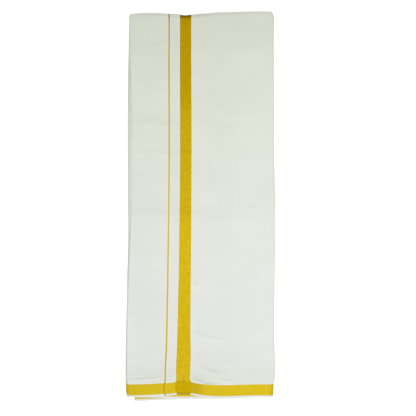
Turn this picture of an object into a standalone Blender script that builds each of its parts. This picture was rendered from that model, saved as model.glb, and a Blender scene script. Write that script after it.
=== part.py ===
"""A dhoti cloth, folded flat: one woven cotton length with zari bands and borders.

The length is doubled along its middle, which puts the closed crease at +Y and the open
selvedges at -Y. It is then halved four times across, which stacks sixteen doubled panels.
Three pieces stand for that stack. The outer sheet is the top panel, which starts at a cut
end on the left, turns down the right fold, runs back along the underside and turns up the
lowest fold on the left. The second end is the panel just under it, with the other cut end.
The hidden layers are all the panels between, as one solid that is layered at its edges.

Sizes are in millimetres, and the meshes are made in metres. +X is to the right and +Z is up.
"""

import math

import bpy
import numpy as np

MM = 0.001

# The stack and its walls
STACK = 14.0
WALL = 1.0
GAP = 0.3
DOUBLED = 2 * WALL + GAP
PLY_OFFSET = (WALL + GAP) / 2
RIGHT_FOLD_RADIUS = STACK / 2
LEFT_FOLD_RADIUS = 3.2
TONGUE = 6.0

# The woven pattern, measured along the cloth from its selvedge or across it
SELVEDGE = 2.6
BORDER_TOP = 20.0
HALF_WIDTH = 635.0

# Outlines of the top panel and of what shows under it. Columns: x, y
CLOSED_CREASE = (
    (-122, 319.8), (-106, 320.6), (-80, 321.3), (-40, 319.4), (-27, 318.0),
    (-14, 318.9), (13, 320.9), (39, 322.4), (92, 323.9), (112, 323.4), (122, 321.0),
)
FRONT_SELVEDGE = (
    (-122, -315.0), (-83, -315.0), (-58, -312.3), (-40, -310.2), (-14, -310.2),
    (0, -311.8), (24, -314.8), (50, -315.7), (92, -315.2), (122, -314.8),
)
BACK_SELVEDGE = (
    (-122, -314.8), (-106, -315.8), (-62, -318.2), (-27, -318.4), (0, -318.2),
    (26, -317.9), (50, -316.9), (80, -315.9), (122, -315.1),
)
SECOND_SELVEDGE = ((-107, -321.2), (-93, -320.4), (-70, -319.8), (-40, -318.2), (0, -316.6), (122, -314.0))

# Side edges up the cloth, straight from row to row, and shared by every piece so that walls keep clear.
# Columns: distance from the front selvedge, then x of the cut end, second cut end, left and right folds
SIDES = (
    (0, -122.6, -107.2, -123.8, 120.2),
    (BORDER_TOP, -122.6, -107.4, -124.0, 121.4),
    (77, -122.2, -109.0, -124.1, 122.3),
    (160, -120.8, -112.5, -122.7, 121.6),
    (240, -118.0, -114.5, -121.0, 122.7),
    (330, -115.3, -114.0, -120.5, 122.8),
    (415, -115.2, -114.0, -121.1, 121.7),
    (500, -115.6, -114.5, -120.8, 121.0),
    (575, -118.3, -116.5, -119.3, 120.9),
    (622, -118.8, -117.0, -118.7, 120.6),
    (631, -118.9, -117.2, -118.4, 119.4),
    (HALF_WIDTH, -118.9, -117.3, -118.2, 117.8),
)
SIDE_ROWS = tuple(row[0] for row in SIDES)
CUT_END, SECOND_CUT_END, LEFT_FOLDS, RIGHT_FOLD = (tuple(row[k] for row in SIDES) for k in (1, 2, 3, 4))

# Guides across the top panel, besides its cut end and the right fold.
# Columns: x at the closed crease, drift by the front border, cells to the next, woven in zari
PANEL_GUIDES = (
    (-53.2, -7.0, 1, True),
    (-50.6, -7.0, 1, False),
    (-34.2, -6.8, 2, True),
    (-15.8, -1.6, 7, False),
)
LEFT_CELLS = 4
DRIFT_START = 375.0

# Cells round each fold and along the underside
RIGHT_FOLD_CELLS = 8
LEFT_FOLD_CELLS = 6
CREASE_CELLS = 5
UNDERSIDE_CELLS = 4

# Rows up the front ply, besides the side rows, close together at the packing creases
CREASE_ROWS = (27, 36, 120, 200, 290, 301, 309, 317, 370, 460)

# Soft ridges left by packing. Columns: distance from the selvedge, half width, height, x from, x to
PACKING_CREASES = (
    (309, 9, 0.5, -116, 120),
    (27, 8, 0.5, -110, -20),
    (180, 45, 0.25, -20, 110),
    (460, 60, 0.3, -118, -20),
)
CREASE_FADE = 12.0

# The layers of the hidden stack. Columns: low, high, and how far in the left, front and back lie
LAYERS = (
    (2.6, 3.8, 2.8, 1.0, 1.2),
    (3.85, 5.2, 10.0, 2.2, 0.8),
    (5.2, 6.65, 10.0, 1.2, 1.8),
    (6.7, 7.8, 1.1, 0.7, 1.0),
    (7.8, 8.9, 0.8, 2.0, 1.5),
    (8.9, 10.1, 0.5, 1.0, 0.8),
)
LAYER_ROUNDING = 0.4
CORNER_ROUNDING = 1.5
CELLS_ACROSS = 8

# Colour, roughness and metallic value
COTTON = ("unbleached_cotton", (0.74, 0.76, 0.68), 0.85, 0.0)
ZARI = ("gold_zari", (0.60, 0.42, 0.02), 0.45, 0.6)


def through(table, at):
    """The value at one place on a smooth curve through a table of places and values."""
    places, values = np.array(table, float).T
    slopes = np.gradient(values, places)
    at = min(max(at, places[0]), places[-1])
    i = min(int(np.searchsorted(places, at, side="right")) - 1, len(places) - 2)
    span = places[i + 1] - places[i]
    t = (at - places[i]) / span
    start = (1 + 2 * t) * (1 - t) ** 2 * values[i] + t * (1 - t) ** 2 * span * slopes[i]
    end = t * t * (3 - 2 * t) * values[i + 1] - t * t * (1 - t) * span * slopes[i + 1]
    return float(start + end)


def side(edge, along):
    """The x of one side edge at a distance from the front selvedge."""
    return float(np.interp(along, SIDE_ROWS, edge))


def ease(t):
    """A soft step from 0 to 1."""
    t = min(max(t, 0.0), 1.0)
    return t * t * (3 - 2 * t)


def material(spec):
    """A Principled material from its name, colour, roughness and metallic value."""
    name, colour, roughness, metallic = spec
    made = bpy.data.materials.new(name)
    made.use_nodes = True
    shader = made.node_tree.nodes["Principled BSDF"]
    shader.inputs["Base Color"].default_value = (*colour, 1.0)
    shader.inputs["Roughness"].default_value = roughness
    shader.inputs["Metallic"].default_value = metallic
    made.diffuse_color = (*colour, 1.0)
    return made


def piece(name, points, faces, materials, collection):
    """One object from points in millimetres and faces, with its materials."""
    mesh = bpy.data.meshes.new(name)
    mesh.from_pydata([tuple(p) for p in np.asarray(points) * MM], [], faces)
    for each in materials:
        mesh.materials.append(each)
    made = bpy.data.objects.new(name, mesh)
    collection.objects.link(made)
    return made


def sheet(name, points, materials, collection):
    """A wall on an open surface, half to each side, from points in columns and rows."""
    columns, rows = points.shape[:2]
    faces = [
        (c * rows + r, (c + 1) * rows + r, (c + 1) * rows + r + 1, c * rows + r + 1)
        for c in range(columns - 1)
        for r in range(rows - 1)
    ]
    made = piece(name, points.reshape(-1, 3), faces, materials, collection)
    wall = made.modifiers.new("wall", "SOLIDIFY")
    wall.thickness = WALL * MM
    wall.offset = 0.0
    wall.use_even_offset = True
    made.data.shade_smooth()
    made.data.set_sharp_from_angle(angle=math.radians(50))
    return made


def ridge_height(x, along):
    """How far the packing creases lift the top panel, at a distance from its selvedge."""
    height = 0.0
    for centre, half, rise, left, right in PACKING_CREASES:
        across = ease((x - left) / CREASE_FADE) * ease((right - x) / CREASE_FADE)
        height += rise * across * math.exp(-2 * ((along - centre) / half) ** 2)
    return height


def panel_path(along):
    """The top panel's grid lines at one row: x, and whether zari follows."""
    drift = ease((DRIFT_START - along) / (DRIFT_START - BORDER_TOP))
    lines = [x + reach * drift for x, reach, _, _ in PANEL_GUIDES]
    lines = [side(CUT_END, along), *lines, side(RIGHT_FOLD, along) - RIGHT_FOLD_RADIUS]
    cells = (LEFT_CELLS, *(row[2] for row in PANEL_GUIDES))
    zari = (False, *(row[3] for row in PANEL_GUIDES))
    return [
        (lines[i] + (lines[i + 1] - lines[i]) * cell / cells[i], zari[i])
        for i in range(len(cells))
        for cell in range(cells[i])
    ]


def turn(centre, level, radius, start, cells):
    """Half a turn of the path, clockwise as seen from the front, from an angle off +Z."""
    angles = [math.radians(start) + math.pi * i / cells for i in range(cells + 1)]
    return [
        (centre + radius * math.sin(a), level + radius * math.cos(a), math.sin(a), math.cos(a), False)
        for a in angles
    ]


def sheet_path(along):
    """The outer sheet's middle line at one row: x, z, its outward normal, and whether zari follows."""
    right = side(RIGHT_FOLD, along) - RIGHT_FOLD_RADIUS
    left = side(LEFT_FOLDS, along) + LEFT_FOLD_RADIUS
    top = STACK - DOUBLED / 2
    path = [(x, top, 0.0, 1.0, zari) for x, zari in panel_path(along)]
    path += turn(right, STACK / 2, RIGHT_FOLD_RADIUS - DOUBLED / 2, 0, RIGHT_FOLD_CELLS)
    for cell in range(1, UNDERSIDE_CELLS):
        path.append((right + (left - right) * cell / UNDERSIDE_CELLS, DOUBLED / 2, 0.0, -1.0, False))
    path += turn(left, LEFT_FOLD_RADIUS, LEFT_FOLD_RADIUS - DOUBLED / 2, 180, LEFT_FOLD_CELLS)
    path.append((left + TONGUE, 2 * LEFT_FOLD_RADIUS - DOUBLED / 2, 0.0, 1.0, False))
    return path


def doubled_profile():
    """Rows round the doubled sheet: selvedge, distance from it, offset out, offset back, zari."""
    front = sorted({*SIDE_ROWS, *CREASE_ROWS, SELVEDGE} - {HALF_WIDTH})
    back = sorted({*SIDE_ROWS, SELVEDGE} - {HALF_WIDTH}, reverse=True)
    rows = [(FRONT_SELVEDGE, row, PLY_OFFSET, 0.0, row == SELVEDGE) for row in front]
    for i in range(CREASE_CELLS + 1):
        a = math.pi * i / CREASE_CELLS
        rows.append((FRONT_SELVEDGE, HALF_WIDTH, PLY_OFFSET * math.cos(a), PLY_OFFSET * math.sin(a), False))
    rows += [(BACK_SELVEDGE, row, -PLY_OFFSET, 0.0, row == BORDER_TOP) for row in back]
    return rows


def outer_sheet(cotton, zari, collection):
    """The doubled sheet that wraps the stack, from its cut end to the tongue of the lowest fold."""
    rows = doubled_profile()
    top_cells = len(panel_path(0))
    columns = len(sheet_path(0))
    points = np.zeros((columns, len(rows), 3))
    in_zari = np.zeros((columns, len(rows)), np.int32)
    for j, (selvedge, along, out, back, row_zari) in enumerate(rows):
        on_front = selvedge is FRONT_SELVEDGE and along < HALF_WIDTH
        for i, (x, z, nx, nz, column_zari) in enumerate(sheet_path(along)):
            start = through(selvedge, x)
            end = through(CLOSED_CREASE, x) - WALL / 2 - PLY_OFFSET
            lift = ridge_height(x, along) if on_front and i < top_cells else 0.0
            y = start + (end - start) * along / HALF_WIDTH + back
            points[i, j] = (x + nx * out, y, z + nz * out + lift)
            in_zari[i, j] = row_zari or column_zari
    made = sheet("outer_sheet", points, (cotton, zari), collection)
    made.data.polygons.foreach_set("material_index", in_zari[:-1, :-1].reshape(-1))
    return made


def second_end(cotton, collection):
    """The panel under the top one, whose cut end and selvedge show at the front left corner."""
    level = STACK - DOUBLED - GAP - WALL / 2
    points = np.zeros((CELLS_ACROSS + 1, len(SIDE_ROWS), 3))
    for j, along in enumerate(SIDE_ROWS):
        left = side(SECOND_CUT_END, along)
        right = side(RIGHT_FOLD, along) - RIGHT_FOLD_RADIUS - WALL / 2
        for i in range(CELLS_ACROSS + 1):
            x = left + (right - left) * i / CELLS_ACROSS
            start = through(SECOND_SELVEDGE, x)
            end = through(CLOSED_CREASE, x) - WALL
            points[i, j] = (x, start + (end - start) * along / HALF_WIDTH, level)
    return sheet("second_end", points, (cotton,), collection)


def ring_places():
    """Places round a panel, counterclockwise from the front left: share across and row."""
    shares = [i / CELLS_ACROSS for i in range(CELLS_ACROSS + 1)]
    front = [(share, 0) for share in shares]
    right = [(1, row) for row in SIDE_ROWS[1:-1]]
    back = [(share, HALF_WIDTH) for share in reversed(shares)]
    left = [(0, row) for row in reversed(SIDE_ROWS[1:-1])]
    return front + right + back + left


def layer_levels():
    """Levels of the hidden stack, low to high: z and how far in the left, front and back lie."""
    levels = []
    for low, high, left, front, back in LAYERS:
        edge = (left + LAYER_ROUNDING, front + LAYER_ROUNDING, back + LAYER_ROUNDING)
        if not levels or low > levels[-1][0]:
            levels.append((low, *edge))
        levels.append(((low + high) / 2, left, front, back))
        levels.append((high, *edge))
    return levels


def hidden_layers(cotton, collection):
    """All the panels between the outer sheet and the second end, round inside the right fold."""
    ring = ring_places()
    inner = RIGHT_FOLD_RADIUS - DOUBLED - GAP
    points = []
    for z, left_in, front_in, back_in in layer_levels():
        right_in = RIGHT_FOLD_RADIUS - math.sqrt(inner ** 2 - (z - STACK / 2) ** 2)
        for share, along in ring:
            corner = CORNER_ROUNDING if share in (0, 1) and along in (0, HALF_WIDTH) else 0.0
            left = side(LEFT_FOLDS, along) + left_in + corner
            right = side(RIGHT_FOLD, along) - right_in - corner
            x = left + share * (right - left)
            front = through(FRONT_SELVEDGE, x) + front_in + corner
            back = through(CLOSED_CREASE, x) - back_in - corner
            points.append((x, front + (back - front) * along / HALF_WIDTH, z))
    count = len(ring)
    levels = len(points) // count
    faces = [tuple(reversed(range(count))), tuple(range((levels - 1) * count, levels * count))]
    for level in range(levels - 1):
        for i in range(count):
            a, b = level * count + i, level * count + (i + 1) % count
            faces.append((a, b, b + count, a + count))
    made = piece("hidden_layers", points, faces, (cotton,), collection)
    made.data.shade_smooth()
    made.data.set_sharp_from_angle(angle=math.radians(40))
    return made


def centre_on_footprint(made):
    """Moves the pieces so that the origin lies under the middle of their box."""
    bpy.context.view_layer.update()
    graph = bpy.context.evaluated_depsgraph_get()
    corners = np.array([c for o in made for c in o.evaluated_get(graph).bound_box])
    middle = (corners.min(0) + corners.max(0)) / 2
    for each in made:
        for vertex in each.data.vertices:
            vertex.co.x -= middle[0]
            vertex.co.y -= middle[1]


def main():
    for old in list(bpy.data.objects):
        bpy.data.objects.remove(old, do_unlink=True)
    collection = bpy.data.collections.new("folded_dhoti")
    bpy.context.scene.collection.children.link(collection)
    cotton = material(COTTON)
    zari = material(ZARI)
    made = [
        outer_sheet(cotton, zari, collection),
        second_end(cotton, collection),
        hidden_layers(cotton, collection),
    ]
    centre_on_footprint(made)


main()
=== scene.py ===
"""Looks of the folded dhoti cloth: its thirty-two real plies, woven zari, creases and frayed ends.

The cloth is one length, doubled along its middle and halved four times across. It is laid out
here along its real path through the stack, so every side shows true edges and folds. Lengths
are in millimetres until a mesh is made. A place on the cloth is (u, v): u runs along the length
from the cut end on top, and v runs across the width from the front selvedge of the top panel.
"""

import math

import bpy
import numpy as np
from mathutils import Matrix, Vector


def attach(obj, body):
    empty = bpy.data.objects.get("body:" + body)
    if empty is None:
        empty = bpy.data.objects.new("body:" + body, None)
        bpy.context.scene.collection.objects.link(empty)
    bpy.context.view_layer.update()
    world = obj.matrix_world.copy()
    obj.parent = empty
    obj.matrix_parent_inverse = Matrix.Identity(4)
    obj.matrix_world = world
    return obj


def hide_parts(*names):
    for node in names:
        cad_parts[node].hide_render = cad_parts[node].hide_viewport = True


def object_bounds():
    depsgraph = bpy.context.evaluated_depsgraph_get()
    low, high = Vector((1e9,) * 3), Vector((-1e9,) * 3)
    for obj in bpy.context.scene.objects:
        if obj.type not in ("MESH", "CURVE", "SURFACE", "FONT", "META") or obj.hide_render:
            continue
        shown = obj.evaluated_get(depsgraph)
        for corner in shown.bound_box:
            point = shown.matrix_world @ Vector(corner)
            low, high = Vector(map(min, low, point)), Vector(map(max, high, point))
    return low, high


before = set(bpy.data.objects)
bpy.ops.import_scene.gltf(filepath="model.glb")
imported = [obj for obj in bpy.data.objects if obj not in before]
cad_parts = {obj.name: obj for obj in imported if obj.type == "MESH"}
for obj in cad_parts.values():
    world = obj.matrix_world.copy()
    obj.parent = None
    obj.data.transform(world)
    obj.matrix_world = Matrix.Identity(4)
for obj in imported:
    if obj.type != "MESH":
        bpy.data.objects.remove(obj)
CAD_BOX = [list(corner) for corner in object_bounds()]

MM = 0.001

# The stack
PANELS = 16
STACK = 14.0
PITCH = STACK / PANELS
PLY = 0.3
PLY_OFFSET = PITCH / 4
FOLD_SQUASH = 0.75
FOLD_POWER = 3.2

# Order of the panels along the cloth, counted down from the top of the stack
ORDER = (1, 16, 9, 8, 5, 12, 13, 4, 3, 14, 11, 6, 7, 10, 15, 2)

# Folds on the left. Columns: the lowest panel that turns in this group, radius of its outer turn,
# how far that turn lies inside the lowest fold
LEFT_FOLDS = ((4, STACK / 16, 2.6), (8, STACK / 8, 1.5), (PANELS, STACK / 4, 0.0))

# The woven pattern. Distances from a cut end for the line and the band, and from a selvedge for the
# border and the guard beside it
HALF = 635.0
WIDTH = 2 * HALF
LINE = (65.7, 68.3)
BAND = (84.7, 103.1)
BORDER = (3.0, 21.2)
GUARD = 1.7

# Outlines of what shows. Columns: x, y
CLOSED_CREASE = (
    (-118.0, 317.5), (-112.0, 319.5), (-104.0, 320.3), (-93.2, 320.7), (-79.9, 320.7),
    (-66.7, 320.4), (-53.4, 319.4), (-40.2, 318.9), (-26.9, 316.9), (-13.7, 318.2), (-0.4, 319.5),
    (12.8, 320.3), (26.1, 321.5), (52.6, 322.2), (79.1, 323.0), (105.6, 323.1), (116.0, 322.6),
    (121.5, 320.2),
)
FRONT_SELVEDGE = (
    (-122.0, -315.4), (-106.4, -315.4), (-93.2, -315.0), (-79.9, -314.3), (-66.7, -313.5),
    (-53.4, -312.9), (-40.2, -311.5), (-26.9, -310.9), (-13.7, -312.2), (-0.4, -314.6),
    (12.8, -316.1), (26.1, -316.6), (42.6, -316.7), (65.8, -316.0), (92.3, -315.3), (118.8, -315.5),
)
BACK_SELVEDGE = (
    (-122.0, -315.8), (-106.4, -315.9), (-83.2, -315.9), (-66.7, -316.3), (-50.0, -317.2),
    (-26.9, -317.5), (-0.4, -317.4), (24.4, -317.5), (42.6, -317.4), (65.8, -316.6), (92.3, -316.0),
    (118.8, -315.9),
)
SECOND_SELVEDGE = (
    (-109.0, -322.2), (-93.2, -321.4), (-79.9, -320.9), (-66.7, -320.4), (-53.4, -320.1),
    (-40.2, -319.4), (-13.7, -318.9), (12.8, -318.8), (39.3, -318.3), (65.8, -317.2),
    (92.3, -315.9), (118.8, -314.8),
)

# Side edges. Columns: distance from the front selvedge, x
CUT_END = (
    (0, -122.3), (12, -122.0), (40, -122.4), (77, -122.2), (110, -121.9), (160, -120.8),
    (200, -119.4), (240, -118.0), (285, -116.2), (330, -115.4), (415, -115.3), (470, -115.2),
    (515, -116.4), (550, -117.6), (580, -118.4), (612, -118.8), (625, -118.2), (635, -117.0),
)
SECOND_CUT_END = (
    (0, -109.1), (20, -109.2), (77, -110.5), (160, -113.5), (300, -116.8), (500, -117.6),
    (635, -117.6),
)
BIG_FOLD = (
    (0, -124.1), (20, -124.8), (40, -125.1), (77, -124.8), (130, -123.6), (160, -122.6),
    (195, -122.4), (240, -120.9), (264, -120.6), (300, -120.9), (330, -121.0), (415, -121.4),
    (500, -121.2), (550, -120.6), (575, -119.8), (610, -119.4), (635, -118.0),
)
RIGHT_FOLD = (
    (0, 120.2), (4, 120.4), (12, 120.4), (20, 121.3), (27, 122.7), (34, 123.8), (50, 123.5),
    (66, 123.1), (99, 122.0), (132, 122.0), (165, 122.4), (198, 122.7), (231, 123.8), (264, 123.4),
    (330, 123.4), (363, 122.8), (396, 121.9), (430, 121.9), (463, 122.2), (496, 121.8),
    (560, 121.6), (595, 121.4), (615, 122.1), (627, 121.9), (635, 119.4),
)

# Guides woven at a fixed distance from the cut end. Columns: distance from the front selvedge, x
LINE_PATH = (
    (0, -58.6), (6, -60.4), (14, -60.9), (25, -59.0), (40, -58.8), (77, -57.1), (110, -56.3),
    (130, -55.8), (160, -55.2), (195, -54.6), (225, -54.2), (258, -53.7), (291, -53.3),
    (330, -52.8), (375, -52.4), (457, -52.2), (523, -52.5), (556, -52.6), (606, -52.2),
    (635, -52.3),
)
BAND_LEFT = (
    (0, -39.0), (4, -40.8), (12, -42.6), (20, -42.2), (26, -40.7), (34, -40.9), (40, -41.2),
    (50, -40.8), (77, -39.6), (125, -38.2), (160, -37.6), (200, -36.6), (250, -35.9), (330, -34.9),
    (415, -34.35), (523, -34.5), (635, -34.5),
)
BAND_RIGHT = (
    (0, -17.4), (4, -16.0), (10, -14.9), (18, -15.1), (26, -17.3), (40, -17.25), (53, -16.8),
    (67, -16.5), (95, -17.0), (125, -17.1), (160, -16.75), (200, -16.35), (250, -15.9),
    (330, -15.45), (415, -15.2), (457, -15.25), (523, -15.6), (635, -15.6),
)

# Creases of the top ply, from the closed crease to the front: ridges, or a trough where the height
# is negative. Columns: half width of the back slope, half width of the front slope, and along the
# crest x, y and height
CREASES = (
    # Left of the thin line, upper half
    (2.2, 5, (
        (-110, 270, 0), (-96, 269.5, 0.12), (-70, 267.5, 0.13), (-57, 266, 0.12), (-37, 265, 0),
    )),
    (2.2, 5, ((-96, 227, 0), (-83, 227, 0.11), (-60, 229, 0.13), (-50, 229, 0))),
    (7, 7, ((-110, 204, 0), (-96, 204, 0.25), (-73, 205, 0.2), (-60, 204, 0))),
    (3, 8, (
        (-104, 199, 0), (-93, 197, 0.12), (-80, 195, 0.22), (-67, 190.5, 0.28), (-55, 184.5, 0.28),
        (-34, 178, 0),
    )),
    (3, 4, ((-123, 162, -0.22), (-110, 162, -0.24), (-100, 160, -0.11), (-87, 159.5, 0))),
    (11, 13, (
        (-123, 138.5, 0.25), (-110, 138, 0.45), (-90, 136, 0.52), (-70, 134.5, 0.44),
        (-57, 134.5, 0.34), (-24, 134.5, 0),
    )),
    (3, 9, (
        (-121, 88, 0.14), (-110, 88, 0.23), (-83, 88, 0.19), (-57, 88, 0.22), (-17, 88, 0.11),
        (6, 88, 0.11), (19, 90, 0),
    )),
    (6, 8, ((-103, 46.5, 0), (-90, 46.5, 0.12), (-77, 48.5, 0))),
    (4, 6, ((-122, 22, 0.12), (-114, 19, 0.3), (-105, 17, 0.14), (-98, 16, 0))),
    (3, 5, ((-122, 6, 0.22), (-113, 4.5, 0.26), (-103, 3.5, 0))),
    # Right of the band, upper half
    (7, 10, ((-24, 272, 0), (-10, 272, 0.2), (-2, 270.5, 0.12), (6, 268.5, 0))),
    (14, 16, ((53, 262, 0), (76, 262, 0.3), (96, 263.5, 0.3), (116, 265.5, 0))),
    (8, 10, ((-4, 257, 0), (10, 257, 0.18), (23, 257, 0.12), (33, 257, 0))),
    (2, 9, ((-24, 217.5, 0), (-12, 219, 0.2), (3, 219, 0.16), (10, 219, 0))),
    (2, 9, ((-17, 202.5, 0), (-9, 203.5, 0.2), (5, 205.5, 0.2), (13, 207.5, 0))),
    (4, 6, ((-24, 181, 0), (-12, 177.5, 0.16), (0, 174, 0.14), (16, 169, 0.06), (29, 166, 0))),
    (2.2, 12, (
        (49, 152.5, 0), (63, 152.5, 0.13), (82, 152.5, 0.11), (104, 152.5, 0.13), (116, 152.5, 0),
    )),
    (3, 6, ((-24, 147.5, 0), (-12, 145, 0.19), (0, 141, 0.11), (10, 139.5, 0))),
    (2.2, 11, (
        (46, 136, 0), (56, 135.5, 0.14), (72, 133, 0.1), (86, 133, 0.13), (102, 131, 0.16),
        (112, 129.5, 0),
    )),
    (2, 4, ((13, 40, 0), (21, 41, 0.15), (36, 42.5, 0.19), (49, 44, 0))),
    # The packing crease, from the left edge to the right fold
    (4, 12, (
        (-123, -12, 0.08), (-113, -11.5, 0.18), (-103, -7, 0.28), (-90, -6.5, 0.4), (-77, -9, 0.4),
        (-67, -11.5, 0.26), (-55, -10.5, 0.26), (-37, -11.5, 0.2), (-14, -10.5, 0.2),
        (6, -11.5, 0.14), (23, -13, 0),
    )),
    (9, 13, (
        (-17, -16, 0), (0, -18.5, 0.2), (23, -21, 0.26), (46, -22, 0.26), (72, -22, 0.22),
        (92, -21, 0.12), (112, -21, 0),
    )),
    (2, 7, ((77, -3, 0), (84, -3, 0.24), (94, -3, 0.2), (101, -3, 0))),
    (6, 8, ((2, -36, 0), (12, -36.5, 0.16), (26, -38, 0.14), (41, -40, 0.12), (56, -41, 0))),
    # Left of the thin line, lower half
    (8, 10, (
        (-120, -77.5, 0), (-106, -76, 0.16), (-88, -74, 0.24), (-70, -76, 0.14), (-40, -77.5, 0),
    )),
    (7, 9, (
        (-121, -160.5, 0.06), (-106, -163.5, 0.2), (-83, -163.5, 0.22), (-63, -162, 0.14),
        (-47, -162, 0),
    )),
    (3.5, 6, ((-125, -180, 0.3), (-114, -180.5, 0.3), (-103, -179, 0))),
    (4, 6, ((-106, -243, 0), (-90, -244, 0.1), (-67, -243, 0.1), (-53, -243, 0))),
    (4.5, 6, ((-124, -251, 0.1), (-113, -252.5, 0.28), (-103, -252, 0.16), (-93, -249.5, 0))),
    (1.4, 3.5, (
        (-120, -276, 0.05), (-100, -275.5, 0.07), (-73, -274.5, 0.08), (-57, -273.5, 0.07),
        (-40, -273, 0),
    )),
    (1.4, 3.5, (
        (-123, -281, 0.14), (-103, -280, 0.2), (-80, -279, 0.2), (-57, -277, 0.17),
        (-37, -275.5, 0),
    )),
    (1.4, 3.5, (
        (-126, -288.5, 0.32), (-110, -287.5, 0.52), (-90, -285.5, 0.5), (-70, -283.5, 0.41),
        (-53, -282, 0.31), (-37, -281, 0),
    )),
    (1.4, 3.5, ((-93, -292, 0), (-80, -291, 0.36), (-60, -289, 0.4), (-34, -286, 0))),
    # Right of the band, lower half
    (2, 7, ((94, -58.5, 0), (101, -58.5, 0.17), (109, -57.5, 0.17), (114, -57.5, 0))),
    (2.5, 5, ((-20, -70, 0), (-10, -71, 0.2), (3, -71.5, 0.15), (13, -72.5, 0))),
    (4, 6, ((6, -95.5, 0), (19, -96.5, 0.1), (46, -98, 0.1), (66, -97.5, 0))),
    (2.5, 5, (
        (-20, -129.5, 0), (-12, -130.5, 0.22), (1, -131.5, 0.18), (13, -137, 0.15), (26, -139, 0),
    )),
    (2.5, 4, ((56, -172, 0), (66, -165.5, 0.11), (76, -165.5, 0.11), (82, -170, 0))),
    (3, 6, (
        (-20, -200, 0), (-12, -206.5, 0.28), (0, -214.5, 0.4), (13, -217.5, 0.45), (26, -220, 0.38),
        (35, -221, 0.16), (45, -222, 0),
    )),
    (4, 6, ((46, -216, 0), (54, -217.5, 0.16), (63, -216.5, 0))),
    (5, 6, ((33, -220, 0), (46, -219, 0.1), (59, -216.5, 0.1), (69, -215, 0))),
    (8, 8, ((59, -211.5, 0), (82, -211, 0.14), (109, -210, 0.14), (120, -210, 0))),
    (4, 5, ((-7, -249.5, 0), (3, -250.5, 0.18), (13, -251.5, 0.16), (23, -253, 0))),
    (4, 6, ((14, -257, 0), (26, -258, 0.12), (43, -259, 0.24), (56, -258, 0.24), (65, -256.5, 0))),
    (2.5, 3, ((67, -261.5, 0), (76, -259.5, 0.15), (82, -256.5, 0))),
    (3, 5, (
        (-17, -249.5, 0), (-9, -257, 0.2), (0, -265.5, 0.42), (10, -271.5, 0.62), (23, -276, 0.62),
        (33, -278, 0.28), (46, -278.5, 0),
    )),
    (2, 4, (
        (21, -281, 0), (30, -285, 0.26), (40, -288.5, 0.38), (49, -289.8, 0.36), (57, -287, 0.2),
        (62, -283.5, 0),
    )),
    (2.4, 4.6, (
        (-20, -280, 0), (-9, -287.6, 0.8), (2, -291.8, 1.1), (12, -294.9, 1.05), (20, -296.1, 0.8),
        (29, -297.1, 0.45), (38, -297.8, 0),
    )),
)

# How round the top of a crest is, how far it wanders from its line and how much more so for each
# millimetre of its back slope, and the mean share of its height and how far that varies
CREST = 0.4
CREST_WANDER = (0.2, 0.06)
CREST_SHARE = (0.95, 0.15)

# How high the top ply stands off the next one. It rises over LOFT_RISE from its cut end and comes
# down over FOLD_FALL, which ends FOLD_MARGIN inside the right edge, and over CREASE_FALL at the closed
# crease. It stays above LOWEST, so that it clears the ply below.
LOFT = 0.42
LOFT_RISE = 22
FOLD_MARGIN = 6.5
FOLD_FALL = 9
CREASE_FALL = 5
LOWEST = -0.095

# Slow waves: number of them, shortest and longest. The first two move the crests and vary their
# height, and the rest make the top ply uneven by the height in front.
WAVE_SEED = 5
WANDER_WAVES = (5, 14, 40)
STRENGTH_WAVES = (5, 12, 45)
UNEVEN = ((0.10, 9, 60, 140), (0.014, 9, 14, 40), (0.005, 9, 6, 11))

# Fine puckers beside the thin line and the band. Columns: from x, to x, from y, to y, spacing, height
PUCKERS = (
    (-50.0, -37.0, -288.0, -252.0, 5.0, 0.08),
    (-50.0, -37.0, -190.0, -132.0, 5.6, 0.07),
    (-50.0, -37.0, -20.0, 70.0, 5.2, 0.06),
    (-50.0, -37.0, 110.0, 250.0, 7.4, 0.03),
    (-15.0, 2.0, -262.0, -62.0, 12.6, 0.10),
)
PUCKER_END_FADE = 8
PUCKER_LEFT_FADE = 4
PUCKER_RIGHT_FADE = 6

# The cut end on top curls up, by this much and over this distance
CURL = 0.16
CURL_REACH = 5

# The middle of the solids' footprint in the cloth's own millimetres, and where these lie in the frame
FOOTPRINT_MIDDLE = (-0.65, 1.35)
SHIFT_X = (CAD_BOX[0][0] + CAD_BOX[1][0]) / 2 / MM - FOOTPRINT_MIDDLE[0]
SHIFT_Y = (CAD_BOX[0][1] + CAD_BOX[1][1]) / 2 / MM - FOOTPRINT_MIDDLE[1]

# Camera and its picture
PIXEL = 1.656
PICTURE = 416
CAMERA_HEIGHT = 3.0
SENSOR = 36.0
PICTURE_CENTRE = (12.0, -2.2)

# Rows across the width that every ply shares, as distances from the front selvedge. Edges run
# straight between them, so that plies with more rows and with fewer still nest.
ROWS = (
    0, 1.5, 3.0, 4.5, 7, 12, 21.2, 30, 44, 60, 77, 100, 125, 150, 175, 200, 225, 248, 268, 284, 295,
    303, 309, 315, 323, 334, 350, 370, 395, 420, 450, 480, 510, 535, 555, 573, 588, 600, 610, 618, 624,
    628.5, 631.5, 633.5, 634.65,
)
CREASE_START = ROWS[-1]
CREASE_STEPS = 6
FRONT_BASE = -314.2
CREASE_BASE = 320.0

# How far each panel's selvedges and crease lie inside those of the top panel, by place in the order
FRONT_INSET = (0, 1.2, 2.2, 0.9, 1.9, 0.7, 2.4, 1.4, 1.0, 2.3, 1.5, 0.6, 2.0, 1.1, 1.7, 0)
CREASE_INSET = (0, 1.9, 1.1, 2.4, 1.5, 2.2, 0.9, 1.7, 2.5, 1.2, 2.0, 1.4, 2.3, 1.0, 1.8, 1.3)

# How far inwards from its edge a line is felt: a selvedge's on the panels that show, a hidden one's,
# the closed crease's, and the crease's insets
SELVEDGE_REACH = 250
HIDDEN_REACH = 38
CREASE_REACH = 250
INSET_REACH = 31

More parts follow.
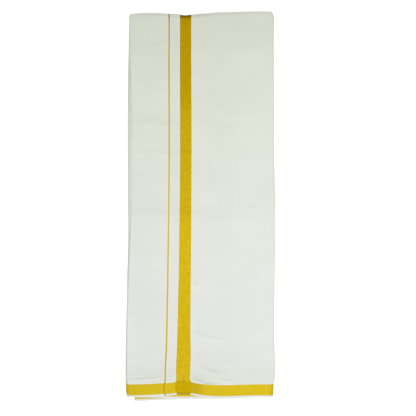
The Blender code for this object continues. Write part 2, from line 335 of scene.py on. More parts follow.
# Hidden selvedges lie HIDDEN_INSET further in, and their back ply BACK_INSET more. On the last panel
# it is the front ply that lies SECOND_INSET further in.
HIDDEN_INSET = 0.5
BACK_INSET = 0.45
SECOND_INSET = 0.8

# The gap between top_panel and folded_rest, on the underside beside the right fold
SEAM = 0.2


def through(table, at):
    """The values at many places on a smooth curve through a table of places and values."""
    places, values = np.array(table, float).T
    slopes = np.gradient(values, places)
    at = np.clip(np.asarray(at, float), places[0], places[-1])
    i = np.clip(np.searchsorted(places, at, side="right") - 1, 0, len(places) - 2)
    span = places[i + 1] - places[i]
    t = (at - places[i]) / span
    start = (1 + 2 * t) * (1 - t) ** 2 * values[i] + t * (1 - t) ** 2 * span * slopes[i]
    end = t * t * (3 - 2 * t) * values[i + 1] - t * t * (1 - t) * span * slopes[i + 1]
    return start + end


def side(table, s):
    """The x of a side edge at distances s from the front selvedge, straight between the shared rows."""
    return np.interp(s, ROWS, through(table, ROWS))


def ease(t):
    """A soft step from 0 to 1."""
    t = np.clip(t, 0.0, 1.0)
    return t * t * (3 - 2 * t)


def level_of(panel):
    """The height of a panel's middle."""
    return STACK - (panel - 0.5) * PITCH


def heading(i):
    """1 for a panel that runs to the right, -1 for one that runs back."""
    return 1 if i % 2 == 0 else -1


def signed_root(value, power):
    """A power of a number's size, with its sign."""
    return np.sign(value) * np.abs(value) ** power


class Rows:
    """Rows across the doubled width, from the front selvedge round the crease to the back one."""

    def __init__(self, front):
        crease = np.linspace(CREASE_START, WIDTH - CREASE_START, CREASE_STEPS + 1)[1:-1]
        back = WIDTH - np.array(ROWS[::-1], float)
        self.v = np.concatenate([front, crease, back])
        self.s = np.minimum(self.v, WIDTH - self.v)
        turned = np.clip((self.v - CREASE_START) / (WIDTH - 2 * CREASE_START), 0.0, 1.0)
        self.offset = PLY_OFFSET * np.cos(math.pi * turned)
        self.bulge = PLY_OFFSET * np.sin(math.pi * turned)
        self.on_back = self.v > HALF
        self.on_crease = self.bulge > 1e-6
        self.right_centre = side(RIGHT_FOLD, self.s) - FOLD_SQUASH * STACK / 2

    def left_centre(self, a, b):
        """The x round which two panels turn into each other on the left."""
        radius, inset = next(row[1:] for row in LEFT_FOLDS if max(a, b) <= row[0])
        return side(BIG_FOLD, self.s) + inset + FOLD_SQUASH * radius

    def turn_centre(self, i):
        """The x round which panel i turns into the next."""
        return self.right_centre if heading(i) > 0 else self.left_centre(ORDER[i], ORDER[i + 1])

    def lie(self, i, x):
        """The y of panel i's rows at x."""
        s = np.minimum(self.s, CREASE_START)
        straight = FRONT_BASE + (CREASE_BASE - FRONT_BASE) * s / CREASE_START
        if i == 0:
            selvedge = np.where(self.on_back, through(BACK_SELVEDGE, x), through(FRONT_SELVEDGE, x))
            front = (selvedge - FRONT_BASE) * (1 - ease(s / SELVEDGE_REACH))
        elif i == PANELS - 1:
            selvedge = through(SECOND_SELVEDGE, x) + np.where(self.on_back, 0.0, SECOND_INSET)
            front = (selvedge - FRONT_BASE) * (1 - ease(s / SELVEDGE_REACH))
        else:
            wave = 0.35 * np.sin(x / 31 + 2.1 * i) + np.where(self.on_back, BACK_INSET, 0.0)
            front = (HIDDEN_INSET + FRONT_INSET[i] + wave) * (1 - ease(s / HIDDEN_REACH))
        crease = through(CLOSED_CREASE, x) - PLY_OFFSET - PLY / 2 - CREASE_BASE
        crease = crease * ease((s - HALF + CREASE_REACH) / CREASE_REACH)
        wave = 0.3 * np.sin(x / 26 + 1.7 * i) if i else 0.0
        inset = (CREASE_INSET[i] + wave) * ease((s - HALF + INSET_REACH) / INSET_REACH)
        return straight + front + crease - inset + self.bulge

    def on_panel(self, i, x):
        """Where panel i's rows lie at x."""
        return x, self.lie(i, x), level_of(ORDER[i]) + heading(i) * self.offset

    def on_turn(self, i, angle):
        """Where the rows lie in the turn after panel i, from angle 0 to pi."""
        top, low = level_of(ORDER[i]), level_of(ORDER[i + 1])
        middle = (top + low) / 2
        reach = np.abs(top + heading(i) * self.offset - middle)
        down = 1 if top > middle else -1
        out = signed_root(math.sin(angle), 2 / FOLD_POWER)
        up = signed_root(math.cos(angle), 2 / FOLD_POWER)
        x = self.turn_centre(i) + heading(i) * FOLD_SQUASH * reach * out
        share = float(ease(angle / math.pi))
        y = (1 - share) * self.lie(i, x) + share * self.lie(i + 1, x)
        return x, y, middle + down * reach * up


def swell(x, y):
    """How much thicker or thinner than its mean the whole stack is at a place."""
    across = 0.012 * np.sin(x / 52 + 0.6) * np.sin(y / 83 + 1.9)
    slanting = 0.008 * np.sin(x / 37 - y / 120 + 2.4)
    return 1 + across + slanting


def span_noise(rng, count, low, high):
    """Waves of random direction, length and phase for slow unevenness: rows of kx, ky, phase, share."""
    waves = []
    for _ in range(count):
        length = rng.uniform(low, high)
        turn = rng.uniform(0, math.pi)
        waves.append((math.cos(turn) * math.tau / length, math.sin(turn) * math.tau / length,
                      rng.uniform(0, math.tau), 1 / math.sqrt(count)))
    return waves


def waves_at(waves, x, y):
    """The sum of such waves, about -1.5 to 1.5."""
    return sum(share * np.sin(kx * x + ky * y + phase) for kx, ky, phase, share in waves) * math.sqrt(2)


def lean_of(places, path):
    """How much narrower a slanting path is across than it is straight up, at each of its places."""
    return 1 / np.hypot(1, np.gradient(path, places))


def relief(x, y, s):
    """The height of the top ply over the flat, from its creases, puckers and unevenness."""
    rng = np.random.default_rng(WAVE_SEED)
    wander = waves_at(span_noise(rng, *WANDER_WAVES), x, y)
    strength = waves_at(span_noise(rng, *STRENGTH_WAVES), x, y)
    height = LOFT * ease((x - side(CUT_END, s)) / LOFT_RISE)
    for back, front, crest in CREASES:
        places, path, tall = (np.array(column, float) for column in zip(*crest))
        off = through(np.column_stack([places, path]), x) - y
        off = off * through(np.column_stack([places, lean_of(places, path)]), x)
        off = off + (CREST_WANDER[0] + CREST_WANDER[1] * back) * wander
        profile = np.exp((CREST - np.hypot(off, CREST)) / np.where(off > 0, front, back))
        share = CREST_SHARE[0] + CREST_SHARE[1] * strength
        height += np.interp(x, places, tall, left=0, right=0) * profile * share
    for left, right, low, high, pitch, tall in PUCKERS:
        within = ease((y - low) / PUCKER_END_FADE) * ease((high - y) / PUCKER_END_FADE)
        across = ease((x - left) / PUCKER_LEFT_FADE) * ease((right - x) / PUCKER_RIGHT_FADE)
        ripple = np.sin(math.tau * y / pitch + 1.6 * wander) * 0.5 + 0.5
        height += tall * within * across * ripple * (0.7 + 0.4 * strength)
    for tall, *waves in UNEVEN:
        height += tall * waves_at(span_noise(rng, *waves), x, y)
    fade = ease((side(RIGHT_FOLD, s) - FOLD_MARGIN - x) / FOLD_FALL)
    fade = fade * ease((CREASE_START - s) / CREASE_FALL)
    return np.maximum(height * fade, LOWEST)


# Steps between rows of the top ply. Columns: from and to, as distances from the front selvedge, step
FINE_ROWS = (
    (12, 60, 0.8), (60, 125, 1.1), (175, 200, 1.1), (248, 268, 1.2), (284, 323, 1.1),
    (350, 370, 1.1), (395, 420, 1.1), (435, 480, 1.2), (500, 540, 1.1), (575, 590, 1.2),
)
ROW_STEP = 2.2


def refine(rows):
    """The shared rows with more between them where the top ply has fine creases."""
    fine = [float(rows[0])]
    for low, high in zip(rows, rows[1:]):
        middle = (low + high) / 2
        step = min([pitch for a, b, pitch in FINE_ROWS if a <= middle <= b], default=ROW_STEP)
        fine += spread(low, high, max(1, math.ceil((high - low) / step - 1e-6)))
    return np.array(fine)


def spread(low, high, count):
    """Evenly spaced values after low, up to high."""
    return [low + (high - low) * n / count for n in range(1, count + 1)]


# Columns of the top panel, as distances along the cloth: from, to and how many after the first
FOLD_U = 235.0
TOP_SPANS = (
    (0.0, 1.2, 1), (1.2, LINE[0], 20), (*LINE, 1), (LINE[1], BAND[0], 6), (*BAND, 5),
    (BAND[1], FOLD_U, 36),
)
TURN_STEPS = 12
PANEL_STEPS = 10

# Half the width of the thin line as it lies
LINE_HALF = 1.4


def top_panel_grid():
    """The top panel and the right fold that it turns into: rows, points by row and column, and us."""
    rows = Rows(refine(ROWS))
    line = through(LINE_PATH, rows.s)
    guides = np.array([
        side(CUT_END, rows.s), line - LINE_HALF, line + LINE_HALF,
        through(BAND_LEFT, rows.s), through(BAND_RIGHT, rows.s), rows.right_centre,
    ])
    marks = np.array([0.0, *LINE, *BAND, FOLD_U])
    us = [0.0]
    for span in TOP_SPANS:
        us += spread(*span)
    uneven = 0.7 + 0.5 * np.sin(rows.s / 19) * np.sin(rows.s / 7.3)
    columns = []
    for u in us:
        i = min(int(np.searchsorted(marks, u, side="right")) - 1, len(marks) - 2)
        t = (u - marks[i]) / (marks[i + 1] - marks[i])
        x, y, z = rows.on_panel(0, guides[i] * (1 - t) + guides[i + 1] * t)
        curl = CURL * ease(1 - u / CURL_REACH) * uneven
        z = z + np.where(rows.on_back | rows.on_crease, 0.0, relief(x, y, rows.s))
        z = z + np.where(rows.on_back, 0.0, curl)
        columns.append((x, y, z * swell(x, y)))
    for n in range(1, TURN_STEPS + 1):
        x, y, z = rows.on_turn(0, math.pi * n / TURN_STEPS)
        columns.append((x, y, z * swell(x, y)))
        (x0, _, z0), (x1, _, z1) = (np.array(column)[:, len(rows.v) // 2] for column in columns[-2:])
        us.append(us[-1] + math.hypot(x1 - x0, z1 - z0))
    return rows, np.array(columns).transpose(2, 0, 1), np.array(us)


def rest_grid(u_start):
    """The rest of the cloth in the same form, from the bottom panel to the second cut end."""
    rows = Rows(np.array(ROWS, float))
    middle = len(ROWS) // 2
    columns = []
    for i in range(1, PANELS):
        start = rows.turn_centre(i - 1)
        last = i == PANELS - 1
        end = side(SECOND_CUT_END, rows.s) if last else rows.turn_centre(i)
        shares = [n / PANEL_STEPS for n in range(PANEL_STEPS + 1)]
        if last:
            long = start[middle] - end[middle]
            woven = [1 - e / long for e in (*BAND[::-1], *LINE[::-1])]
            shares = sorted([share for share in shares if not woven[0] < share < woven[-1]] + woven)
        for share in shares[0 if i == 1 else 1:]:
            x, y, z = rows.on_panel(i, start + (end - start) * share)
            columns.append((x, y, z * swell(x, y)))
        if last:
            break
        for n in range(1, TURN_STEPS + 1):
            x, y, z = rows.on_turn(i, math.pi * n / TURN_STEPS)
            columns.append((x, y, z * swell(x, y)))
    grid = np.array(columns).transpose(2, 0, 1)
    steps = np.hypot(*np.diff(grid[middle], axis=0)[:, (0, 2)].T)
    return rows, grid, u_start + np.concatenate([[0.0], np.cumsum(steps)])


def zari_cells(us, vs, total):
    """Which cells between columns and rows are zari: the band, the thin line and the borders."""
    u = (us[1:] + us[:-1]) / 2
    v = (vs[1:] + vs[:-1]) / 2
    e = np.minimum(u, total - u)[None, :]
    s = np.minimum(v, WIDTH - v)[:, None]
    stripes = ((e > LINE[0]) & (e < LINE[1])) | ((e > BAND[0]) & (e < BAND[1]))
    past_selvedge = s > BORDER[0]
    return (stripes & (past_selvedge | (v < HALF)[:, None])) | (past_selvedge & (s < BORDER[1]))


def linked(name, data):
    """A new object with this data, in the scene."""
    made = bpy.data.objects.new(name, data)
    bpy.context.scene.collection.objects.link(made)
    return made


def cloth_mesh(name, points, faces, places, materials):
    """A smooth mesh in the row's frame, with each point's place on the cloth as a map in metres."""
    mesh = bpy.data.meshes.new(name)
    mesh.from_pydata(((points + (SHIFT_X, SHIFT_Y, 0)) * MM).tolist(), [], faces)
    for material in materials:
        mesh.materials.append(material)
    mesh.polygons.foreach_set("use_smooth", np.ones(len(faces), bool))
    corners = [corner for face in faces for corner in face]
    mesh.uv_layers.new(name="cloth").data.foreach_set("uv", (places * MM)[corners].ravel())
    return mesh


SHARP_ANGLE = math.radians(50)


def shell(name, points, us, vs, zari, materials):
    """A closed thin cloth on a grid of points by row and column, with zari in some of its cells."""
    n_rows, n_columns = points.shape[:2]
    index = np.arange(n_rows * n_columns).reshape(n_rows, n_columns)
    faces = np.stack([index[:-1, :-1], index[:-1, 1:], index[1:, 1:], index[1:, :-1]], -1)
    places = np.stack(np.meshgrid(us, vs), -1).reshape(-1, 2)
    mesh = cloth_mesh(name, points.reshape(-1, 3), faces.reshape(-1, 4).tolist(), places, materials)
    mesh.polygons.foreach_set("material_index", zari.astype(int).ravel())
    draft = linked(name + "_draft", mesh)
    thick = draft.modifiers.new("thickness", "SOLIDIFY")
    thick.thickness = PLY * MM
    thick.offset = 0.0
    thick.use_even_offset = True
    thick.use_quality_normals = True
    bpy.context.view_layer.update()
    made = bpy.data.meshes.new_from_object(draft.evaluated_get(bpy.context.evaluated_depsgraph_get()))
    made.name = name
    made.set_sharp_from_angle(angle=SHARP_ANGLE)
    bpy.data.objects.remove(draft)
    return linked(name, made)


# Loose threads at the cut ends: how far the longest reach out, and the shortest as a share of that,
# further near the closed crease, how far their roots lie inside the ply, and how they turn, bend,
# drop and thin out towards the tip
THREAD_SEED = 11
THREAD_REACH = 1.5
THREAD_LEAST = 0.25
CORNER_REACH = 3.0
CORNER_Y = 305
THREAD_ROOT = 0.35
THREAD_TURN = 0.35
THREAD_BEND = 0.5
THREAD_DROP = (-0.1, 0.05)
THREAD_RADIUS = (0.055, 0.085)
THREAD_TAPER = 0.35
THREAD_TWIST = 0.3
THREAD_SIDES = 3
THREAD_RINGS = 3


def thread_points(rng, base, reach):
    """The corners of one thread, ring by ring from its root to its tip. Both cut ends face left."""
    turn = rng.normal(0, THREAD_TURN)
    bend = rng.normal(0, THREAD_BEND)
    drop = rng.uniform(*THREAD_DROP)
    radius = rng.uniform(*THREAD_RADIUS)
    points = []
    for ring in range(THREAD_RINGS):
        share = ring / (THREAD_RINGS - 1)
        swing = turn + bend * share
        far = (reach + THREAD_ROOT) * share - THREAD_ROOT
        middle = base + np.array([-far * math.cos(swing), far * math.sin(swing), drop * share])
        for corner in range(THREAD_SIDES):
            angle = math.tau * corner / THREAD_SIDES + THREAD_TWIST * ring
            spoke = np.array([0, math.cos(angle), math.sin(angle)])
            points.append(middle + radius * (1 - THREAD_TAPER * share) * spoke)
    return points


def thread_faces(first):
    """The faces of one thread whose points start at this number."""
    starts = [first + ring * THREAD_SIDES for ring in range(THREAD_RINGS)]
    rings = [range(start, start + THREAD_SIDES) for start in starts]
    faces = []
    for low, high in zip(rings, rings[1:]):
        for n in range(THREAD_SIDES):
            after = (n + 1) % THREAD_SIDES
            faces.append((low[n], low[after], high[after], high[n]))
    return faces + [tuple(reversed(rings[0])), tuple(rings[-1])]


def threads(name, ends, material):
    """Loose threads along cut ends. An end is its grid, rows, column, u, ply and number of threads."""
    rng = np.random.default_rng(THREAD_SEED)
    vertices, faces, places = [], [], []
    for grid, rows, column, u, back, count in ends:
        keep = (rows.on_back == back) & ~rows.on_crease
        points, vs = grid[keep, column], rows.v[keep]
        for _ in range(count):
            at = rng.uniform(0, len(points) - 1.001)
            n = int(at)
            base = points[n] + (points[n + 1] - points[n]) * (at - n)
            v = vs[n] + (vs[n + 1] - vs[n]) * (at - n)
            longest = CORNER_REACH if base[1] > CORNER_Y else THREAD_REACH
            reach = longest * (THREAD_LEAST + (1 - THREAD_LEAST) * rng.random() ** 2)
            faces += thread_faces(len(vertices))
            vertices += thread_points(rng, base, reach)
            places += [(u, v)] * (THREAD_RINGS * THREAD_SIDES)
    mesh = cloth_mesh(name, np.array(vertices), faces, np.array(places), [material])
    mesh.validate()
    return linked(name, mesh)


def linear(red, green, blue):
    """A colour given as a screen shows it, from 0 to 255, as the renderer's values."""
    def one(value):
        value /= 255
        return value / 12.92 if value <= 0.04045 else ((value + 0.055) / 1.055) ** 2.4
    return (one(red), one(green), one(blue), 1.0)


WHITE = (1.0, 1.0, 1.0, 1.0)


class Graph:
    """Short calls for a material's nodes."""

    def __init__(self, name):
        self.material = bpy.data.materials.new(name)
        self.material.use_nodes = True
        self.tree = self.material.node_tree
        self.shader = self.tree.nodes["Principled BSDF"]

    def feed(self, socket, value):
        """Links or sets one input."""
        if isinstance(value, bpy.types.NodeSocket):
            self.tree.links.new(value, socket)
        else:
            socket.default_value = value

    def math(self, operation, a, b=0.0):
        """One math node."""
        node = self.tree.nodes.new("ShaderNodeMath")
        node.operation = operation
        self.feed(node.inputs[0], a)
        self.feed(node.inputs[1], b)
        return node.outputs[0]

    def product(self, first, *others):
        """Values multiplied together."""
        for other in others:
            first = self.math("MULTIPLY", first, other)
        return first

    def step(self, value, low, high, to_low=0.0, to_high=1.0):
        """A soft step of a value from low to high. Where low is the greater one, it runs backwards."""
        node = self.tree.nodes.new("ShaderNodeMapRange")
        node.interpolation_type = "SMOOTHSTEP"
        self.feed(node.inputs["Value"], value)
        node.inputs["From Min"].default_value = low
        node.inputs["From Max"].default_value = high
        node.inputs["To Min"].default_value = to_low
        node.inputs["To Max"].default_value = to_high
        return node.outputs[0]

    def past(self, distance, low, high, before=0.0, after=1.0):
        """A soft step over a distance on the cloth, with its bounds in millimetres."""
        return self.step(distance, low * MM, high * MM, before, after)

    def until(self, distance, low, high):
        """1 up to a distance on the cloth and 0 past it, with a soft step between these bounds."""
        return self.past(distance, low, high, 1.0, 0.0)

    def within(self, distance, low, high, soft):
        """1 where a distance lies between low and high, with soft edges."""
        return self.product(
            self.past(distance, low - soft, low + soft), self.until(distance, high - soft, high + soft)
        )

    def mix(self, share, a, b, kind="MIX"):
        """A mix of two colours."""
        node = self.tree.nodes.new("ShaderNodeMix")
        node.data_type = "RGBA"
        node.blend_type = kind
        self.feed(node.inputs["Factor"], share)
        self.feed(node.inputs["A"], a)
        self.feed(node.inputs["B"], b)
        return node.outputs["Result"]

    def painted(self, colour, over, *shares):
        """A colour with another one over it, as far as the product of these shares says."""
        return self.mix(self.product(*shares), colour, over)

    def tinted(self, colour, tint, *shares):
        """A colour times a tint, as far as the product of these shares says."""
        return self.mix(1.0, colour, self.painted(WHITE, tint, *shares), "MULTIPLY")

    def light_and_shade_across(self, colour, s, tones):
        """A colour times tints of painted light and shade, one after another across the width."""
        for low, high, tint in tones:
            colour = self.tinted(colour, tint, self.past(s, low, high))
        return colour

    def noise(self, place, along, across, detail, offset):
        """Noise on the cloth with features of these lengths along and across it, in millimetres."""
        scaled = self.tree.nodes.new("ShaderNodeMapping")
        self.feed(scaled.inputs["Vector"], place)
        scaled.inputs["Scale"].default_value = (1 / MM / along, 1 / MM / across, 1.0)
        scaled.inputs["Location"].default_value = (offset, offset * 0.7, 0.0)
        node = self.tree.nodes.new("ShaderNodeTexNoise")
        node.noise_dimensions = "2D"
        self.feed(node.inputs["Vector"], scaled.outputs[0])
        node.inputs["Scale"].default_value = 1.0
        node.inputs["Detail"].default_value = detail
        return node.outputs[0]

    def around(self, value, size):
        """A value from 0 to 1 as a factor round 1, up to this far from it."""
        return self.math("ADD", self.product(value, 2 * size), 1 - size)

    def surface(self, values):
        """Sets plain values of the shader by their names."""
        for name, value in values.items():
            self.shader.inputs[name].default_value = value

    def finished(self, colour, height, depth, values):
        """The material of this colour, with a bump of this depth in millimetres and these values."""
        node = self.tree.nodes.new("ShaderNodeBump")
        node.inputs["Strength"].default_value = BUMP_STRENGTH
        node.inputs["Distance"].default_value = depth * MM
        self.feed(node.inputs["Height"], height)
        self.feed(self.shader.inputs["Base Color"], colour)
        self.feed(self.shader.inputs["Normal"], node.outputs[0])
        self.surface(values)
        return self.material


def places_on_cloth(graph, total):
    """The place on the cloth, then u, v and the distances from a cut end and a selvedge, in metres."""
    node = graph.tree.nodes.new("ShaderNodeUVMap")
    node.uv_map = "cloth"
    parts = graph.tree.nodes.new("ShaderNodeSeparateXYZ")
    graph.feed(parts.inputs[0], node.outputs[0])
    u, v = parts.outputs[:2]
    e = graph.math("MINIMUM", u, graph.math("SUBTRACT", total * MM, u))
    s = graph.math("MINIMUM", v, graph.math("SUBTRACT", WIDTH * MM, v))
    return node.outputs[0], u, v, e, s


BUMP_STRENGTH = 0.5

# How soft the edges of the woven pattern are
COTTON_EDGE = 0.3
GUARD_EDGE = 0.25
SELVEDGE_EDGE = 0.2
ZARI_EDGE = 0.1

# Noise. Columns: length along, length across, detail, offset
RAGGED_SPOTS = (9, 3.2, 1.0, 8.2)
SLUBS = (26, 0.5, 1.0, 1.9)
CROSS_SLUBS = (0.5, 22, 1.0, 5.2)
FINE_SPECKS = (1.5, 1.3, 2.0, 3.3)
PATCHES = (5.0, 7.0, 2.0, 6.7)
DOTS = (1.6, 4.0, 0.0, 6.1)

# Streaks and clouds of the cotton. Columns: noise, how far it shades
COTTON_STREAKS = (
    ((60, 38, 2.0, 2.3), 0.03), ((60, 0.8, 1.0, 7.1), 0.018), ((0.8, 45, 1.0, 4.4), 0.02),
    ((1.1, 1.1, 2.0, 9.6), 0.03),
)

# Painted light and shade across the width. Columns: from and to, as distances from a selvedge, and
# the tint. A row whose first distance is the greater one comes in towards the selvedge.
# Cotton, painted shade: darker towards the front selvedge, where its creases shade it, and above the
# packing crease, where the cloth tilts away from the light; darker again towards the closed crease,
# where less light falls, then a touch paler right at the crease
COTTON_SHADING = (
    (70, 22, (0.978, 0.986, 0.943, 1.0)),
    (268, 304, (0.98, 0.98, 0.975, 1.0)),
    (546, 592, (0.962, 0.962, 0.953, 1.0)),
    (612, 632, (1.008, 1.008, 0.998, 1.0)),
)
# The thin line: bluer in its upper part, and painted shade at the closed crease
LINE_SHADING = (
    (440, 500, (1.0, 1.03, 1.15, 1.0)),
    (612, 632, (0.9, 0.82, 0.8, 1.0)),
)
# Zari: painted light, paler and bluer towards the front selvedge; painted shade, darker above the
# packing crease, deeper and far less blue near the top, where less light falls, and darker at the
# closed crease
ZARI_SHADING = (
    (100, 30, (1.05, 1.05, 1.6, 1.0)),
    (286, 304, (0.95, 0.93, 0.8, 1.0)),
    (462, 494, (0.96, 0.91, 0.12, 1.0)),
    (624, 634, (0.82, 0.79, 0.7, 1.0)),
)

# Cotton, from the front selvedge to the closed crease, and its guard lines, whose colour also
# serves for the painted highlight beside a cut end
COTTON_FRONT = linear(226, 229, 224)
COTTON_CREASE = linear(225, 229, 216)
COTTON_GUARD_AND_HIGHLIGHT = linear(230, 234, 231)
GUARD_SHARE = 0.6

# Painted light: paler towards the right fold, where more light falls
FOLD_LIGHT_TINT = (1.02, 1.02, 1.025, 1.0)
FOLD_ALONG = (150, 230)

# Painted shade: darker in a low place right of the band, at the front, where creases shade it
LOW_PLACE_SHADE = (0.97, 0.975, 0.95, 1.0)
LOW_ALONG = (108, 158)
LOW_SOFT = 14
LOW_ACROSS = (30, 75)

# Painted highlight: paler beside a cut end, at the front
CUT_HIGHLIGHT_SHARE = 0.7
CUT_HIGHLIGHT_ALONG = (2, 22)
CUT_HIGHLIGHT_ACROSS = (150, 330)

# Painted shade along the very end, where the top ply's cut edge stands over the fold below, in
# ragged spots and more so near the closed crease
END_SHADE_TINT = (0.84, 0.85, 0.83, 1.0)
END_ALONG = (0.4, 3.0)
END_ACROSS = (380, 610, 0.3, 1.35)
END_SPOTS = (0.36, 0.64, 0.45, 1.6)

COTTON_PITCH = 0.45
COTTON_BUMP = 0.014
COTTON_SURFACE = {
    "Roughness": 0.9, "Specular IOR Level": 0.25, "Sheen Weight": 0.08, "Sheen Roughness": 0.5,
}


def weave(graph, u, v, pitch):
    """The height of a plain weave with threads this far apart, from 0 to 1."""
    warp = graph.math("SINE", graph.product(v, math.pi / MM / pitch))
    weft = graph.math("SINE", graph.product(u, math.pi / MM / pitch))
    return graph.math("ADD", graph.product(warp, weft, 0.5), 0.5)


def cotton_material(total):
    """Off-white handloom cotton with its fine streaks and pale guard lines beside the zari."""
    graph = Graph("cotton")
    place, u, v, e, s = places_on_cloth(graph, total)
    colour = graph.mix(graph.past(s, 0.0, HALF), COTTON_FRONT, COTTON_CREASE)
    # Painted light and shade across the width
    colour = graph.light_and_shade_across(colour, s, COTTON_SHADING)
    # Painted light, paler towards the right fold
    colour = graph.tinted(colour, FOLD_LIGHT_TINT, graph.past(u, *FOLD_ALONG))
    # Painted shade in the low place right of the band
    colour = graph.tinted(
        colour, LOW_PLACE_SHADE, graph.within(u, *LOW_ALONG, LOW_SOFT), graph.until(s, *LOW_ACROSS)
    )
    # Pale guard lines and selvedge from the weave, and a painted highlight beside the cut end
    pale = graph.within(s, BORDER[1] + ZARI_EDGE, BORDER[1] + GUARD, GUARD_EDGE)
    for edge in (LINE[0] - GUARD, LINE[1], BAND[0] - GUARD, BAND[1]):
        pale = graph.math("MAXIMUM", pale, graph.within(e, edge, edge + GUARD, COTTON_EDGE))
    selvedge = graph.until(s, BORDER[0] - SELVEDGE_EDGE, BORDER[0] + SELVEDGE_EDGE)
    pale = graph.math("MAXIMUM", pale, selvedge)
    # Painted highlight beside the cut end, at the front
    cut_end_highlight = graph.product(graph.until(e, *CUT_HIGHLIGHT_ALONG), graph.until(s, *CUT_HIGHLIGHT_ACROSS), CUT_HIGHLIGHT_SHARE)
    pale = graph.math("MAXIMUM", pale, cut_end_highlight)
    colour = graph.painted(colour, COTTON_GUARD_AND_HIGHLIGHT, pale, GUARD_SHARE)
    # Painted shade along the cut end, in ragged spots
    ragged = graph.step(graph.noise(place, *RAGGED_SPOTS), *END_SPOTS)
    colour = graph.tinted(
        colour, END_SHADE_TINT, graph.until(e, *END_ALONG), graph.past(s, *END_ACROSS), ragged
    )
    for streak, size in COTTON_STREAKS:
        colour = graph.mix(1.0, colour, graph.around(graph.noise(place, *streak), size), "MULTIPLY")
    slubs = graph.math("ADD", graph.noise(place, *SLUBS), graph.noise(place, *CROSS_SLUBS))
    height = graph.math("ADD", weave(graph, u, v, COTTON_PITCH), slubs)
    return graph.finished(colour, height, COTTON_BUMP, COTTON_SURFACE)


# Zari: its deep and bright specks, its colour in the border and where it crosses itself, a painted
# highlight, a brown for painted shade, and its colour in the thin line
ZARI_BRIGHT = linear(223, 195, 28)
ZARI_DEEP = linear(187, 159, 10)
ZARI_BORDER = linear(217, 191, 28)
ZARI_CROSS = linear(210, 179, 1)
ZARI_CROSS_DEEP = linear(184, 152, 1)
ZARI_HIGHLIGHT = linear(240, 216, 52)
ZARI_SHADE_BROWN = linear(150, 108, 20)
ZARI_LINE = linear(206, 188, 72)
ZARI_LINE_FRONT = linear(205, 182, 62)
LINE_ACROSS = (60, 330)

# Specks: shares of fine ones and patches, what part of them counts, and the lowest and highest share
# of the bright colour
FINE_SHARE = 0.75
PATCH_SHARE = 0.25
SPECK_RANGE = (0.3, 0.7)
SPECK_SHARES = (0.12, 0.88)
BORDER_SHARE = 0.65

# The border beside the band, shaded by the crease there, from a little inside the band's edge
BESIDE_TINT = (0.83, 0.81, 0.85, 1.0)
BESIDE_LAP = 0.2
BESIDE_ALONG = (108, 132)

# Painted shade in brown, and its shares: the thin line on the border (partly the darker crossing
# itself), both ends of the crossing, the second one in dots, the closed crease, and the border at
# a cut end
LINE_CROSS_SHADE = 0.33
FRONT_END_SHADE = 0.4
FRONT_REACH = 0.9
BACK_END_SHADE = 0.6
BACK_REACH = (0.2, 1.6)
BACK_SOFT = 0.6
DOT_RANGE = (0.4, 0.6)
CREASE_SHADE = 0.7
CREASE_ACROSS = (HALF - 6, HALF - 1)
CUT_END_SHADE = 0.3
BROWN_ALONG = (1.5, 4.5)

# Painted highlight: the border paler where it bulges as it turns into the right fold
HIGHLIGHT_SHARE = 0.35
HIGHLIGHT_ALONG = (226, 229.5)
HIGHLIGHT_SOFT = 0.8

TWILL_PITCH = 0.9
TWILL_SLANT = 0.8
TWILL_SHARE = 0.35
ZARI_BUMP = 0.05
ZARI_SURFACE = {"Metallic": 0.8, "Roughness": 0.6, "Specular IOR Level": 0.1}


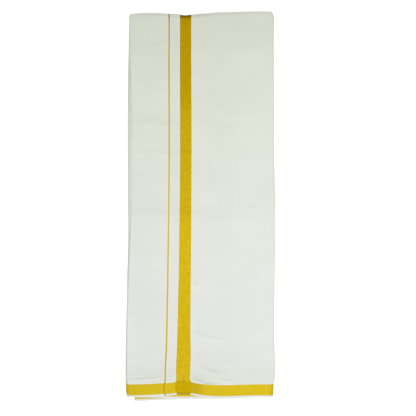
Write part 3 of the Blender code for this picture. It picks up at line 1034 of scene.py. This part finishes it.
def zari_material(total):
    """Gold zari: fine twill of yellow metal thread, deeper at the crossing, with painted light and
    shade.
    """
    graph = Graph("zari")
    place, u, v, e, s = places_on_cloth(graph, total)
    on_border = graph.within(s, *BORDER, ZARI_EDGE)
    off_border = graph.math("SUBTRACT", 1.0, on_border)
    in_line = graph.within(e, *LINE, ZARI_EDGE)
    front_ply = graph.until(v, HALF - 1, HALF + 1)
    in_band = graph.product(graph.within(e, *BAND, ZARI_EDGE), front_ply)
    fine = graph.noise(place, *FINE_SPECKS)
    patchy = graph.noise(place, *PATCHES)
    specks = graph.math("ADD", graph.product(fine, FINE_SHARE), graph.product(patchy, PATCH_SHARE))
    colour = graph.mix(graph.step(specks, *SPECK_RANGE, *SPECK_SHARES), ZARI_DEEP, ZARI_BRIGHT)
    colour = graph.painted(colour, ZARI_BORDER, on_border, BORDER_SHARE)
    beside = graph.product(graph.past(e, BAND[1] - BESIDE_LAP, BAND[1]), graph.until(e, *BESIDE_ALONG))
    colour = graph.tinted(colour, BESIDE_TINT, beside, front_ply, on_border)
    crossed = graph.mix(graph.step(specks, *SPECK_RANGE), ZARI_CROSS_DEEP, ZARI_CROSS)
    colour = graph.painted(colour, crossed, in_band, on_border)
    front_end = graph.until(s, BORDER[0], BORDER[0] + FRONT_REACH)
    back_end = graph.within(s, BORDER[1] + BACK_REACH[0], BORDER[1] + BACK_REACH[1], BACK_SOFT)
    dots = graph.step(graph.noise(place, *DOTS), *DOT_RANGE)
    # Painted shade in brown: the thin line on the border, both ends of the crossing, the closed crease
    for shares in (
        (in_line, on_border, LINE_CROSS_SHADE),
        (in_band, front_end, FRONT_END_SHADE),
        (in_band, back_end, dots, BACK_END_SHADE),
        (graph.past(s, *CREASE_ACROSS), CREASE_SHADE),
    ):
        colour = graph.painted(colour, ZARI_SHADE_BROWN, *shares)
    # Painted light and shade across the width
    colour = graph.light_and_shade_across(colour, s, ZARI_SHADING)
    # The thin line, with its painted shade across the width
    line = graph.mix(graph.past(s, *LINE_ACROSS), ZARI_LINE_FRONT, ZARI_LINE)
    colour = graph.painted(colour, graph.light_and_shade_across(line, s, LINE_SHADING), in_line, off_border)
    # Painted highlight on the border at the right fold
    fold_highlight = graph.within(e, *HIGHLIGHT_ALONG, HIGHLIGHT_SOFT)
    colour = graph.painted(colour, ZARI_HIGHLIGHT, on_border, fold_highlight, HIGHLIGHT_SHARE)
    # Painted shade in brown on the border at a cut end
    colour = graph.painted(colour, ZARI_SHADE_BROWN, on_border, graph.until(e, *BROWN_ALONG), CUT_END_SHADE)
    slant = graph.math("ADD", u, graph.product(v, TWILL_SLANT))
    twill = graph.math("SINE", graph.product(slant, math.tau / MM / TWILL_PITCH))
    height = graph.math("ADD", graph.product(twill, TWILL_SHARE), fine)
    return graph.finished(colour, height, ZARI_BUMP, ZARI_SURFACE)


FLOOR_SIDE = 8.0
FLOOR_SURFACE = {
    "Base Color": (0.3, 0.3, 0.3, 1.0), "Roughness": 1.0, "Specular IOR Level": 0.0,
    "Emission Color": WHITE, "Emission Strength": 0.88,
}


def floor():
    """A plain pale floor."""
    far = FLOOR_SIDE / 2
    corners = [(-far, -far, 0), (far, -far, 0), (far, far, 0), (-far, far, 0)]
    mesh = bpy.data.meshes.new("floor")
    mesh.from_pydata(corners, [], [(0, 1, 2, 3)])
    graph = Graph("floor")
    graph.surface(FLOOR_SURFACE)
    mesh.materials.append(graph.material)
    linked("floor", mesh)


# The soft lamp over the cloth: its place from the cloth's middle in metres, its side and its power
OVER_PLACE = (0.12, -0.09, 0.95)
OVER_SIDE = 0.5
OVER_POWER = 3.74

# Distant lamps. Columns: name, strength, and in degrees width, tilt off straight down and turn
SUNS = (
    ("front", 2.6, 12, 68, 6),
    ("left", 0.56, 20, 70, -90),
)
WORLD_STRENGTH = 0.26


def studio():
    """Soft light from above, strongest over the front half, and weaker ones from the front and left."""
    data = bpy.data.lights.new("over", "AREA")
    data.size = OVER_SIDE
    data.energy = OVER_POWER
    linked("over", data).location = (
        OVER_PLACE[0] + SHIFT_X * MM, OVER_PLACE[1] + SHIFT_Y * MM, OVER_PLACE[2]
    )
    for name, strength, width, tilt, turn in SUNS:
        data = bpy.data.lights.new(name, "SUN")
        data.energy = strength
        data.angle = math.radians(width)
        linked(name, data).rotation_euler = (math.radians(tilt), 0, math.radians(turn))
    world = bpy.data.worlds.new("studio")
    world.use_nodes = True
    world.node_tree.nodes["Background"].inputs["Color"].default_value = WHITE
    world.node_tree.nodes["Background"].inputs["Strength"].default_value = WORLD_STRENGTH
    bpy.context.scene.world = world
    bpy.context.scene.view_settings.view_transform = "Standard"


def camera():
    """Straight above the cloth, with the picture's up towards its closed crease."""
    data = bpy.data.cameras.new("camera")
    data.sensor_width = SENSOR
    data.lens = SENSOR * CAMERA_HEIGHT / (PICTURE * PIXEL * MM)
    data.clip_end = 50.0
    made = linked("camera", data)
    made.location = (
        (PICTURE_CENTRE[0] + SHIFT_X) * MM,
        (PICTURE_CENTRE[1] + SHIFT_Y) * MM,
        CAMERA_HEIGHT + STACK * MM,
    )
    bpy.context.scene.camera = made


top_rows, top_points, top_us = top_panel_grid()
rest_rows, rest_points, rest_us = rest_grid(top_us[-1])
TOTAL = rest_us[-1]
rest_points[:, 0, 0] -= SEAM
cotton = cotton_material(TOTAL)
zari = zari_material(TOTAL)
top_zari = zari_cells(top_us, top_rows.v, TOTAL)
rest_zari = zari_cells(rest_us, rest_rows.v, TOTAL)
top_panel = shell("top_panel", top_points, top_us, top_rows.v, top_zari, (cotton, zari))
folded_rest = shell("folded_rest", rest_points, rest_us, rest_rows.v, rest_zari, (cotton, zari))

# Both cut ends. Columns: grid, rows, column, u, whether it is the back ply, and how many threads
ends = (
    (top_points, top_rows, 0, 0.0, False, 430),
    (top_points, top_rows, 0, 0.0, True, 240),
    (rest_points, rest_rows, -1, TOTAL, True, 240),
    (rest_points, rest_rows, -1, TOTAL, False, 200),
)
cut_threads = threads("cut_end_threads", ends, cotton)

for piece in (top_panel, folded_rest, cut_threads):
    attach(piece, "root")
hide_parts("outer_sheet")
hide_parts("second_end", "hidden_layers")

floor()
studio()
camera()
